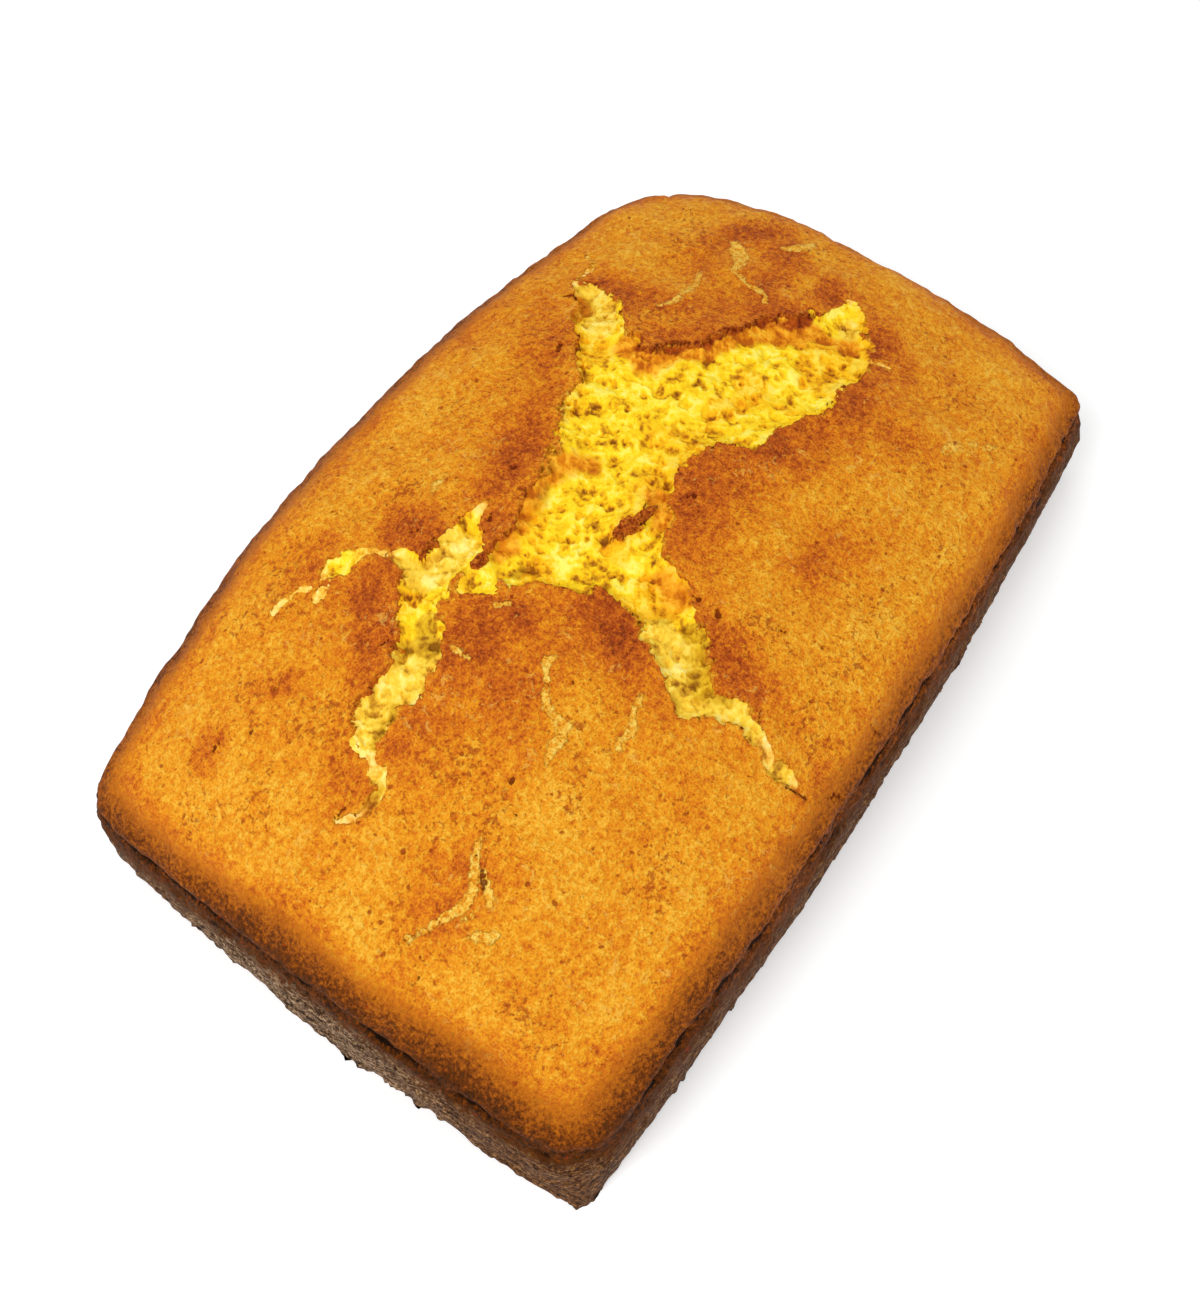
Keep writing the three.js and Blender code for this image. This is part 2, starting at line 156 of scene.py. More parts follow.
# The darkest brown, partly a painted shade beside the split.
DEEP_BROWN_AND_SHADE = [
    [(3, -9, 1), (8, -8.4, 2.5), (13, -6, 3), (19, -6, 3), (24, -9.5, 2), (30, -12, 1)],
    [(-18.5, -3, 1.2), (-19.5, -8, 2.5), (-20.8, -13, 2), (-22.5, -16.5, 1)],
    [(-11, -23, 1), (-14, -27.5, 2), (-15, -32, 1)], [(-25, 28, 2), (-23.4, 25.6, 1)],
    [(-18.6, 16.8, 0.8), (-15.5, 17.6, 0.8), (-12, 18.3, 0.8)], [(-3, 21.5, 1), (2, 21.6, 1)],
    [(-39, 8.6, 1), (-33, 8, 2), (-28, 4.5, 1)], [(57, 7.4, 0.5), (61, 4, 1)],
    [(40, 17.5, 0.8), (47, 13.6, 1)], [(65, -13, 1), (68, -11.5, 0.6)],
    [(46, -17, 1.2), (52, -17, 1)], [(37, -13.5, 0.8), (34, -12, 0.5)],
    [(-47, 21.6, 1), (-43, 20.6, 0.8)], [(-38, 27, 1), (-34, 26.6, 0.8)],
    [(48, 37.5, 1.2), (46, 31.6, 0.8)],
    [(79, 26, 1.2), (82.5, 22, 1)], [(-75, 35, 0.3), (-73, 35, 0.3)], [(-60, 31, 0.3), (-59, 30, 0.3)],
    [(72, -1, 0.8), (75, 2, 0.8)], [(66, 12, 1), (74, 11, 1.5), (80, 14, 1)],
]
# How much further in the rim is browned, by direction from the middle in degrees.
RIM_REACH = [(-180, 1.2), (-150, 1.8), (-135, 0.2), (-118, -1.8), (-90, -2.0), (-62, -1.8),
             (-45, -2.5), (-20, -3.5), (0, -4), (30, -3.5), (60, -1.8), (90, -1.2), (130, -1),
             (145, -0.6), (158, 0), (180, 1.2)]
# The scorched lip of the split, and the toasted and the shaded stretches of the crumb.
SCORCHED = [
    [(34.3, 20.2, 0.3), (35.8, 16.8, 0.5), (38, 14.9, 0.6), (41, 13.4, 0.9), (43.5, 12.2, 0.9),
     (46.5, 10.6, 0.7), (50, 9.8, 0.5), (53, 9, 0.5), (55.5, 7.4, 0.7), (57.5, 5.8, 0.7),
     (59.3, 3.2, 0.7), (60.8, 1.4, 0.7), (63.5, 0.4, 0.4)],
]
TOASTED = [
    [(35, 15.5, 1), (41, 12, 1), (47, 9.5, 1.2), (53, 6.5, 2), (57, 3, 2.5), (60, -1, 2.5)],
    [(-19, 13.6, 0.6), (-13, 14.4, 0.8), (-4, 17.6, 1.5), (2, 16.5, 2), (5, 13, 1)],
    [(3, -4.5, 1.5), (6, -1.5, 1.5)], [(34, 22, 1.5), (32, 17, 1)], [(38.6, 35.6, 0.6), (41, 37.6, 0.8)],
    [(61, -1.6, 0.6), (62, -6, 0.4), (63, -10, 0.6)], [(-6, -11, 1), (-8.5, -15, 1)],
]
SHADED = [
    [(-36.5, 15.8, 1), (-40, 13.5, 1.8), (-39.4, 11, 1)], [(-12.5, -14, 1.5), (-14.5, -12, 1)],
    [(-12, -20, 1), (-16.5, -24, 2), (-19.5, -28, 1.6), (-19, -31, 1)], [(-42, 16, 0.8), (-45, 15.6, 0.5)],
    [(-21, 9.6, 0.6), (-18.6, 8.2, 0.7)], [(35, 34.4, 0.8), (39, 35.6, 1.6), (41.6, 37, 0.8)],
    [(-70, 6.9, 0.2), (-66, 6.6, 0.7), (-63.6, 6.6, 0.3)], [(-52, 11.2, 0.4), (-58, 11, 0.4)],
]
# Bits of crust that stand in the split, and a pale lump of crumb.
ISLAND = [[(-4.2, 0.2, 0.9), (-2.4, -0.3, 1.4), (0.3, -1.3, 0.7), (2.5, -1.7, 0.6), (4, -2.2, 0.4)],
          [(-24.2, 14.7, 0.5), (-22.8, 14.5, 0.6)]]
PALE_CHUNK = [[(-8.5, 14.8, 0.8), (-5.5, 15.2, 1.4), (-3, 16, 0.7)]]
# Paler stretches of the crumb.
PALE_CRUMB = [
    [(-22, 20, 2), (-30, 21, 2), (-30.5, 27, 1.5)],
    [(-42, 12.5, 3), (-50, 13, 5), (-58, 13, 5), (-63, 6, 3), (-70, 8, 2)],
    [(-16, -16, 2), (-19, -20, 3), (-25, -26, 3), (-21, -35, 3), (-24, -45, 3)],
    [(37, 31, 2), (44, 35, 1.5), (44, 40, 2), (54, 43, 2)], [(66, -7.4, 1), (69, -6.4, 0.8)],
]

FAR = 9.0                                  # stands for a distance that isn't worked out
BASE_SHRINK = 0.994                        # the face it stands on, against the sides' last row
SHEET_STEP = 0.66                          # the crust's faces
CRACK_BAND = 1.1                           # how far beside the split they are halved
MARK_BAND = 0.6                            # and round the small marks
SNAP_BAND = 0.24                           # points this close to the split's edge go onto it
MOST_SNAP = 0.2
SNAP_AREA = (92.0, 53.0)                   # the largest u and v of points that are moved
PROBE = 0.05                               # for finding the slope of a distance
CRUMB_STEP = 0.23                          # the crumb's faces
CRUMB_AREA = (-86.0, 92.0, -53.0, 48.0)    # lowest and highest u, then v
CRUMB_BOTTOM = 12.0
CRUMB_MARGIN, NARROW_MARGIN = 0.8, 0.45    # how far the crumb reaches in under the crust
SHOULDER_ANGLES = (0, 1, 2, 4, 6.5, 9.5, 13, 17, 21, 25.5, 29, 32, 35, 37.5, 40, 42.5, 45, 47.5,
                   50, 52.5, 55.5, 59, 63, 69, 75.5, 82, 90)
WALL_ROWS = (13.1, 12.6, 12.0, 11.2, 10.3, 9.4, 8.4, 7.4, 6.4, 5.3, 4.2, 3.1, 2.1, 1.2, 0.5, 0.0)


# ---------------- noise and shape

LATTICE = (150, 150, 12)                   # after so many lumps each way they repeat
CELL_TABLE = (97, 101)                     # and after so many cells


def blobs(points, size, seed):
    """Smooth random lumps from -1 to 1, about size across."""
    lattice = np.random.RandomState(seed).uniform(-1, 1, LATTICE)
    turn = np.array([[0.80, 0.60, 0.0], [-0.56, 0.75, 0.36], [0.21, -0.29, 0.93]])
    place = points @ turn.T / size + seed * 7.31
    cell = np.floor(place).astype(int)
    part = place - cell
    part = part * part * (3 - 2 * part)
    total = np.zeros(len(points))
    for i in (0, 1):
        for j in (0, 1):
            for k in (0, 1):
                corner = cell + (i, j, k)
                weight = np.abs(part - (1 - i, 1 - j, 1 - k)).prod(axis=1)
                total += weight * lattice[tuple((corner % LATTICE).T)]
    return total


def rough(points, size, seed, layers=3):
    """Lumps on lumps, each layer half as wide and half as high as the one before."""
    total = np.zeros(len(points))
    for layer in range(layers):
        total += blobs(points, size / 2 ** layer, seed + layer) / 2 ** layer
    return total


def cells(u, v, size, seed):
    """Distance to the nearest scattered point, and a random number that belongs to it."""
    table = np.random.RandomState(seed).uniform(0, 1, (*CELL_TABLE, 3))
    x, y = u / size, v / size
    column, row = np.floor(x).astype(int), np.floor(y).astype(int)
    nearest = np.full(len(u), FAR)
    chance = np.zeros(len(u))
    for i in (-1, 0, 1):
        for j in (-1, 0, 1):
            spot = table[(column + i) % CELL_TABLE[0], (row + j) % CELL_TABLE[1]]
            away = np.hypot(column + i + spot[:, 0] - x, row + j + spot[:, 1] - y)
            nearer = away < nearest
            chance = np.where(nearer, spot[:, 2], chance)
            nearest = np.where(nearer, away, nearest)
    return nearest * size, chance


def crags(points, size, seed, layers=4):
    """Rounded lumps with creases between them, from 0 in the creases to about 1."""
    total = np.zeros(len(points))
    for layer in range(layers):
        total += np.abs(blobs(points, size / 1.9 ** layer, seed + layer)) * 0.66 ** layer
    return total


def craters(u, v, size, seed, share):
    """Round hollows of mixed widths, 1 at their deepest, in a share of the cells."""
    near, chance = cells(u, v, size, seed)
    reach = size * (0.22 + 0.30 * chance / share)
    return np.where(chance < share, np.clip(1 - (near / reach) ** 2, 0, 1) ** 0.6, 0)


def level(x, y):
    """Places without a height."""
    return np.stack([x, y, np.zeros(len(x))], axis=1)


def smooth_step(low, high, value):
    """0 at low and 1 at high, with a soft step between them."""
    part = np.clip((value - low) / (high - low), 0, 1)
    return part * part * (3 - 2 * part)


def stations_along(run, step=0.6):
    """Close stations along a smooth line through a run."""
    points = np.array([run[0], *run, run[-1]], float)
    places = []
    for a, b, c, d in zip(points, points[1:], points[2:], points[3:]):
        count = max(int(np.hypot(*(c - b)[:2]) / step), 1)
        t = np.linspace(0, 1, count, endpoint=False)[:, None]
        places.append(0.5 * (2 * b + (c - a) * t + (2 * a - 5 * b + 4 * c - d) * t ** 2
                             + (3 * b - a - 3 * c + d) * t ** 3))
    places.append(points[-1:])
    return np.concatenate(places)


def beyond(u, v, runs):
    """How far points lie outside the runs, negative inside, and the nearest half width."""
    places = np.concatenate([stations_along(run) for run in runs])
    distance = np.full(len(u), 1e9)
    width = np.ones(len(u))
    for x, y, half in places:
        away = np.hypot(u - x, v - y) - max(half, 0.15)
        nearer = away < distance
        distance[nearer] = away[nearer]
        width[nearer] = half
    return distance, width


def outside(at, runs):
    """How far the points of a piece lie outside the runs."""
    return beyond(at.u, at.v, runs)[0]


def swell(x, y):
    """Long waves over the crust, the same as the solid's."""
    long = np.sin(x * 0.11 + 0.7 * np.sin(y * 0.09)) * np.cos(y * 0.13 + 0.4)
    return long + 0.6 * np.sin(x * 0.31 + y * 0.17) * np.sin(y * 0.27 - x * 0.12 + 1)


def round_corner(u, v, half_x, half_y, radii):
    """Draws the corners of an oblong in to their radii, and what lies inside them with it."""
    far = np.where(u > 0, radii[0], radii[1])
    near = np.where(u > 0, radii[3], radii[2])
    inset = np.minimum(half_x - np.abs(u), half_y - np.abs(v))
    side_x, side_y = half_x - inset, half_y - inset
    radius = np.minimum(np.where(v > 0, far, near) - inset, np.minimum(side_x, side_y))
    radius = np.maximum(radius, 1e-6)
    over_x = np.abs(u) - (side_x - radius)
    over_y = np.abs(v) - (side_y - radius)
    scale = radius / np.maximum(np.hypot(over_x, over_y), 1e-9)
    corner = (over_x > 0) & (over_y > 0)
    ru = np.where(corner, np.sign(u) * (side_x - radius + over_x * scale), u)
    rv = np.where(corner, np.sign(v) * (side_y - radius + over_y * scale), v)
    return ru, rv


def bow_out(u, v, half_x, half_y, bow):
    """Makes the sides of an oblong bulge."""
    along_x = np.where(u < 0, bow[0], bow[1]) * (1 - (v / half_y) ** 2)
    along_y = np.where(v < 0, bow[2], bow[3]) * (1 - (u / half_x) ** 2)
    return u * (1 + along_x / half_x), v * (1 + along_y / half_y)


def plan(u, v):
    """Where a place on the oblong lies on the loaf, seen from above."""
    ru, rv = round_corner(u, v, HALF_X, HALF_Y, WAIST_RADII)
    return bow_out(ru, rv, HALF_X, HALF_Y, BOW)


def base_plan(u, v):
    """The same for the outline of the base."""
    half_x, half_y = HALF_X + BASE_FLARE, HALF_Y + BASE_FLARE
    ru, rv = round_corner(u * half_x / HALF_X, v * half_y / HALF_Y, half_x, half_y, BASE_RADII)
    return bow_out(ru, rv, half_x, half_y, BASE_BOW)


def crust_height(u, v):
    ru, rv = round_corner(u, v, HALF_X, HALF_Y, WAIST_RADII)
    across = ru / HALF_X - DOME_CENTRE
    nx = np.abs(across) / np.where(across > 0, 1 - DOME_CENTRE, 1 + DOME_CENTRE)
    ny = np.abs(rv) / HALF_Y
    nx, ny = np.minimum(nx, 1), np.minimum(ny, 1)
    dome = DOME * (1 - nx ** DOME_POWER[0]) * (1 - ny ** DOME_POWER[1])
    arch = ARCH_X * (1 - nx ** 2) + ARCH_Y * (1 - ny ** 2)
    fall = np.maximum(1 - from_rim(u, v) / SHOULDER, 0) ** SHOULDER_POWER
    rise = np.maximum(1 - fall, 0) ** (1 / SHOULDER_POWER)
    height = CORNER_HEIGHT + arch + dome + SWELL * swell(u, v) - WAIST
    return WAIST + height * rise


def from_rim(u, v):
    """How far points lie in from the rim of the oblong, rounded at its corners."""
    inset_x = np.maximum(HALF_X - np.abs(u), 1e-6)
    inset_y = np.maximum(HALF_Y - np.abs(v), 1e-6)
    return (inset_x ** -CORNER_SOFTNESS + inset_y ** -CORNER_SOFTNESS) ** (-1 / CORNER_SOFTNESS)


def rim_stations(half):
    """Places across the oblong, closer together where the shoulder curves down."""
    cosine = np.maximum(np.cos(np.radians(SHOULDER_ANGLES)), 0)
    rim = half - SHOULDER * (1 - cosine ** (2 / SHOULDER_POWER))
    inner = half - SHOULDER
    middle = np.linspace(-inner, inner, round(2 * inner / SHEET_STEP) + 1)[1:-1]
    return np.concatenate([-rim, middle, rim[::-1]])


def crack_edge(u, v):
    """How far points lie outside the ragged crack, and the crack's half width there."""
    distance, width = beyond(u, v, BRANCHES)
    flat = level(u, v)
    ragged = 0.8 * blobs(flat, 3.6, 11) + 0.6 * blobs(flat, 1.7, 12)
    teeth = 1.0 * (cells(u, v, 1.7, 14)[1] - 0.5) + 0.7 * (cells(u, v, 0.85, 15)[1] - 0.5)
    island, _ = beyond(u, v, ISLAND)
    ragged = (ragged + teeth) * np.clip(width / 2.2, 0.45, 1)
    distance = distance + ragged
    return np.maximum(distance, -(island + 0.5 * ragged)), width


# ---------------- mesh helpers

def read(items, name):
    """One row of three numbers for each point or face."""
    values = np.empty(len(items) * 3)
    items.foreach_get(name, values)
    return values.reshape(-1, 3)


def set_points(mesh, points):
    mesh.vertices.foreach_set("co", np.ascontiguousarray(points).ravel())
    mesh.update()


def keep(mesh, name, values):
    """Stores a value from 0 to 1 for each point, which the finish reads by its name."""
    layer = mesh.attributes.new(name, "FLOAT", "POINT")
    layer.data.foreach_set("value", np.clip(values, 0, 1).astype(np.float32))


def start_sheet(name, columns, rows):
    """A flat grid, two wide each way, that a piece is made from."""
    bpy.ops.object.select_all(action="DESELECT")
    bpy.ops.mesh.primitive_grid_add(x_subdivisions=columns, y_subdivisions=rows, size=2,
                                    location=(0, 0, 0))
    piece = bpy.context.active_object
    piece.name = name
    piece.data.name = name
    return piece


def pick_faces(piece, chosen):
    """Starts editing a piece, with the faces selected that a mask gives and nothing else."""
    mesh = piece.data
    mesh.vertices.foreach_set("select", np.zeros(len(mesh.vertices), bool))
    mesh.edges.foreach_set("select", np.zeros(len(mesh.edges), bool))
    mesh.polygons.foreach_set("select", chosen)
    bpy.context.view_layer.objects.active = piece
    piece.select_set(True)
    bpy.ops.object.mode_set(mode="EDIT")
    bpy.ops.mesh.select_mode(type="FACE")


def pull_edge_down(rows):
    """Draws the sheet's open edge down by rows of faces, one after the other."""
    bpy.ops.mesh.select_mode(type="EDGE")
    bpy.ops.mesh.select_all(action="DESELECT")
    bpy.ops.mesh.select_non_manifold(extend=False, use_wire=False, use_boundary=True,
                                     use_multi_face=False, use_non_contiguous=False,
                                     use_verts=False)
    for _ in range(rows):
        bpy.ops.mesh.extrude_edges_move(TRANSFORM_OT_translate={"value": (0, 0, -1)})


def turn_outwards():
    """Points all faces outwards, and ends the editing."""
    bpy.ops.mesh.select_all(action="SELECT")
    bpy.ops.mesh.normals_make_consistent(inside=False)
    bpy.ops.object.mode_set(mode="OBJECT")


def finish_piece(piece, material):
    piece.data.materials.clear()
    piece.data.materials.append(material)
    bpy.ops.object.select_all(action="DESELECT")
    bpy.context.view_layer.objects.active = piece
    piece.select_set(True)
    bpy.ops.object.shade_smooth()
    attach(piece, "root")
    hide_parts("cornbread")


def in_metres(x, y, z):
    """The place in the loaf's own frame, in metres."""
    return np.stack([x - CENTRE[0], y - CENTRE[1], z], axis=1) / MM_PER_METRE


# ---------------- materials

# Sockets of a Mix node that mixes colours.
MIX_FACTOR, MIX_FIRST, MIX_SECOND, MIX_RESULT = 0, 6, 7, 2


class Amount:
    """A number that changes over a surface, with the sums that can be done on it."""

    def __init__(self, finish, socket):
        self.finish = finish
        self.socket = socket

    def sum(self, operation, first, second):
        node = self.finish.node("ShaderNodeMath", {"operation": operation}, {0: first, 1: second})
        return Amount(self.finish, node.outputs[0])

    def __add__(self, other):
        return self.sum("ADD", self, other)

    def __radd__(self, other):
        return self.sum("ADD", other, self)

    def __sub__(self, other):
        return self.sum("SUBTRACT", self, other)

    def __rsub__(self, other):
        return self.sum("SUBTRACT", other, self)

    def __mul__(self, other):
        return self.sum("MULTIPLY", self, other)

    def __rmul__(self, other):
        return self.sum("MULTIPLY", other, self)

    def between(self, low, high):
        """0 up to low and 1 from high on, with a soft step between them."""
        node = self.finish.node("ShaderNodeMapRange", {"interpolation_type": "SMOOTHSTEP"},
                                {0: self, 1: low, 2: high})
        return Amount(self.finish, node.outputs[0])


class Finish:
    """A material, with short ways to add nodes to it."""

    def __init__(self, name):
        self.material = bpy.data.materials.new(name)
        self.material.use_nodes = True
        self.tree = self.material.node_tree
        self.tree.nodes.clear()
        self.shader = self.node("ShaderNodeBsdfPrincipled", {}, {})
        self.node("ShaderNodeOutputMaterial", {}, {"Surface": self.shader.outputs[0]})
        place = self.node("ShaderNodeTexCoord", {}, {})
        scaled = self.node("ShaderNodeVectorMath", {"operation": "SCALE"},
                           {0: place.outputs["Object"], "Scale": MM_PER_METRE})
        self.place = scaled.outputs[0]

    def node(self, kind, settings, sockets):
        """Adds a node: first its settings, then the values or links of its sockets."""
        node = self.tree.nodes.new(kind)
        for name, value in settings.items():
            if name == "stops":
                set_stops(node.color_ramp, value)
            else:
                setattr(node, name, value)
        self.feed(node, sockets)
        return node

    def feed(self, node, sockets):
        """Links what varies to a node's sockets, and sets plain values on them."""
        for name, value in sockets.items():
            if isinstance(value, Amount):
                value = value.socket
            if isinstance(value, bpy.types.NodeSocket):
                self.tree.links.new(value, node.inputs[name])
            else:
                node.inputs[name].default_value = value

    def painted(self, name):
        node = self.node("ShaderNodeAttribute", {"attribute_name": name}, {})
        return Amount(self, node.outputs["Fac"])

    def grain(self, size, detail=3.0, roughness=0.6, twist=0.0, place=None):
        node = self.node("ShaderNodeTexNoise", {},
                         {"Vector": place or self.place, "Scale": 1 / size, "Detail": detail,
                          "Roughness": roughness, "Distortion": twist})
        return Amount(self, node.outputs["Fac"])

    def spots(self, size, place):
        """Distance to the nearest scattered spot, in spot sizes, and a random number for it."""
        node = self.node("ShaderNodeTexVoronoi", {}, {"Vector": place, "Scale": 1 / size})
        chance = self.node("ShaderNodeSeparateColor", {}, {0: node.outputs["Color"]})
        return Amount(self, node.outputs["Distance"]), Amount(self, chance.outputs[0])

    def wobble(self, size, reach):
        """The place, pushed about by up to the reach."""
        noise = self.node("ShaderNodeTexNoise", {},
                          {"Vector": self.place, "Scale": 1 / size, "Detail": 1.0})
        push = self.node("ShaderNodeVectorMath", {"operation": "MULTIPLY_ADD"},
                         {0: noise.outputs["Color"], 1: (reach, reach, reach), 2: self.place})
        return push.outputs[0]

    def stretched(self, x, y, z):
        node = self.node("ShaderNodeMapping", {}, {"Vector": self.place, "Scale": (x, y, z)})
        return node.outputs[0]

    def mix(self, amount, first, second):
        node = self.node("ShaderNodeMix", {"data_type": "RGBA", "clamp_factor": True},
                         {MIX_FACTOR: amount, MIX_FIRST: first, MIX_SECOND: second})
        return node.outputs[MIX_RESULT]

    def ramp(self, amount, *stops):
        """A colour for each amount, from stops of a position and screen red, green and blue."""
        node = self.node("ShaderNodeValToRGB", {"stops": stops}, {0: amount})
        return node.outputs[0]

    def bump(self, height, distance, strength):
        node = self.node("ShaderNodeBump", {},
                         {"Strength": strength, "Distance": distance, "Height": height})
        return node.outputs[0]


def set_stops(band, stops):
    while len(band.elements) < len(stops):
        band.elements.new(0.5)
    for element, (position, *colour) in zip(band.elements, stops):
        element.position = position
        element.color = shade(*colour)


def shade(red, green, blue):
    """A colour given by its 0 to 255 screen values."""
    linear = [((c / 255 + 0.055) / 1.055) ** 2.4 if c > 10 else c / 255 / 12.92
              for c in (red, green, blue)]
    return (*linear, 1.0)


def crust_grains(finish):
    """The patterns that the crust's colours and its bumps share, each named for its look."""
    return SimpleNamespace(
        region=finish.grain(13.0, 1.0), cloud=finish.grain(11.0, 2.0), mottle=finish.grain(3.4),
        worm=finish.grain(1.15, 2.0, 0.5, twist=0.2), ragged=finish.grain(0.9, 3.0, 0.7),
        crumbs=finish.grain(0.75, 3.0, 0.78), grit=finish.grain(0.45, 2.0, 0.7),
        streaks=finish.grain(1.2, 3.0, 0.7, place=finish.stretched(0.45, 0.45, 1.8)))


def crust_marks(finish, grains, side):
    """Masks of the small marks on the crust: pale specks that are painted highlights, and pits and slits
    whose dark is partly painted shade.
    """
    red = finish.grain(1.2, 3.0, 0.62, twist=0.3) + (grains.region - 0.5) * 0.5
    # Pale specks: small painted highlights.
    light = finish.grain(1.9, 3.0, 0.7, twist=0.8) + (0.5 - grains.region) * 0.4
    flaw = (finish.painted("fine") * 1.35 + (grains.ragged - 0.5) * 2.0
            + (grains.crumbs - 0.5) * 1.2)
    near, chance = finish.spots(3.6, finish.wobble(0.9, 0.8))
    near = near + (1 - chance) * 0.16
    # Pits: dark reddish spots, partly a painted shade in them.
    hole = (1 - near.between(0.10, 0.17)) * (grains.region - 0.5 + chance).between(0.40, 0.5)
    # The listed dark slits, partly a painted shade in them.
    broken = finish.painted("pit") + (grains.crumbs - 0.5) * 0.6
    return SimpleNamespace(speck=red.between(0.605, 0.71), pale=light.between(0.625, 0.70),
                           flaw=flaw.between(0.35, 1.0), hole=hole * (1 - side.between(0.3, 0.6)),
                           broken=broken.between(0.36, 0.66))


def golden_top(finish, grains, rim):
    """Golden crust, browner in patches and towards the rim, with painted shade in some patches and in the
    low places of the swells.
    """
    # Painted shade: the tone is a little lower in the low places of the long swells.
    tone = (0.67 - finish.painted("browned") * 0.50 - finish.painted("low") * 0.08 - rim * 0.42
            + (grains.cloud - 0.5) * 0.26 + (grains.mottle - 0.5) * 0.28
            + (grains.worm - 0.5) * 0.66 + (grains.grit - 0.5) * 0.78)
    return finish.ramp(tone, (0.04, 122, 48, 18), (0.22, 175, 78, 24), (0.38, 210, 107, 25),
                       (0.52, 230, 136, 26), (0.66, 241, 161, 33), (0.86, 254, 197, 68))


def baked_rim(finish, grains, rim):
    """Dark brown where the crust met the pan's edge, broken up into specks."""
    tone = (rim * 0.8 + (grains.crumbs - 0.5) * 1.0 + (grains.mottle - 0.5) * 0.3
            + (grains.worm - 0.5) * 0.35 + (grains.grit - 0.5) * 0.35)
    return finish.ramp(tone, (0.19, 216, 132, 22), (0.43, 186, 101, 18), (0.59, 145, 73, 13),
                       (0.70, 108, 52, 9), (0.80, 92, 47, 10), (0.94, 56, 27, 6))


def pan_sides(finish, grains):
    """The grey-brown sides that lay against the pan, darker and warmer on the -Y and +Y sides, a painted
    shade.
    """
    speckled = grains.crumbs * 0.6 + grains.streaks * 0.4
    wall = finish.ramp(speckled, (0.415, 30, 16, 6), (0.47, 90, 60, 36), (0.53, 138, 104, 72),
                       (0.595, 204, 170, 132))
    # Painted shade: the darker, warmer colours of the -Y and +Y sides.
    shaded_wall = finish.ramp(speckled, (0.40, 28, 13, 3), (0.47, 84, 47, 18), (0.54, 128, 82, 42),
                       (0.62, 182, 132, 82))
    return finish.mix(finish.painted("dusky"), wall, shaded_wall)


def torn_edge(finish, grains, colour):
    """The scorched lip of the split, and the crumb that shows on the crust's own torn wall."""
    torn = finish.painted("torn")
    tone = grains.grit * 0.5 + grains.worm * 0.5
    lip = finish.ramp(tone, (0.38, 116, 38, 10), (0.49, 176, 80, 20), (0.60, 216, 122, 32))
    colour = finish.mix((torn + (grains.ragged - 0.5) * 0.8).between(0.22, 0.62), colour, lip)
    crumb = finish.ramp(tone, (0.36, 180, 96, 16), (0.48, 216, 136, 26), (0.58, 242, 178, 48),
                        (0.70, 252, 210, 90))
    border = finish.painted("edge") + (grains.ragged - 0.5) * 0.8 + torn * 1.2
    return finish.mix(1 - border.between(0.34, 0.40), colour, crumb)


def crust_finish():
    finish = Finish("baked_crust")
    side, rim = finish.painted("side"), finish.painted("rim")
    grains = crust_grains(finish)
    marks = crust_marks(finish, grains, side)

    colour = golden_top(finish, grains, rim)
    colour = finish.mix(marks.speck * 0.66, colour, shade(160, 58, 20))
    # Small painted highlights.
    colour = finish.mix(marks.pale * 0.42, colour, shade(255, 200, 88))
    colour = finish.mix(rim.between(0.22, 0.66), colour, baked_rim(finish, grains, rim))
    colour = finish.mix(side, colour, pan_sides(finish, grains))
    # Painted shade, near black, in the furrow under the rim and in the holes of the sides.
    gap = (finish.painted("gap") + (grains.crumbs - 0.5) * 0.8).between(0.35, 0.65)
    colour = finish.mix(gap * 0.9, colour, shade(24, 12, 4))
    colour = torn_edge(finish, grains, colour)
    cracked = finish.ramp(grains.grit * 0.5 + grains.worm * 0.5, (0.36, 216, 122, 24),
                          (0.47, 243, 170, 44), (0.60, 255, 214, 98))
    colour = finish.mix(marks.flaw, colour, cracked)
    # Dark reddish pits and slits, partly painted shade.
    colour = finish.mix(marks.hole * 0.8, colour, shade(158, 58, 14))
    colour = finish.mix(marks.broken * 0.85, colour, shade(116, 36, 10))

    height = (grains.worm * 1.0 + grains.grit * 0.7 + grains.mottle * 0.5 - marks.speck * 0.1
              + grains.crumbs * rim * 1.2 - marks.broken * 0.4 - marks.hole * 0.2
              + marks.pale * 0.1 + marks.flaw * 0.35 + grains.streaks * side)
    finish.feed(finish.shader, {"Base Color": colour, "Roughness": 0.50 + grains.grit * 0.25,
                                "Normal": finish.bump(height, 0.0010, 0.9),
                                "Specular IOR Level": 0.06})
    return finish.material


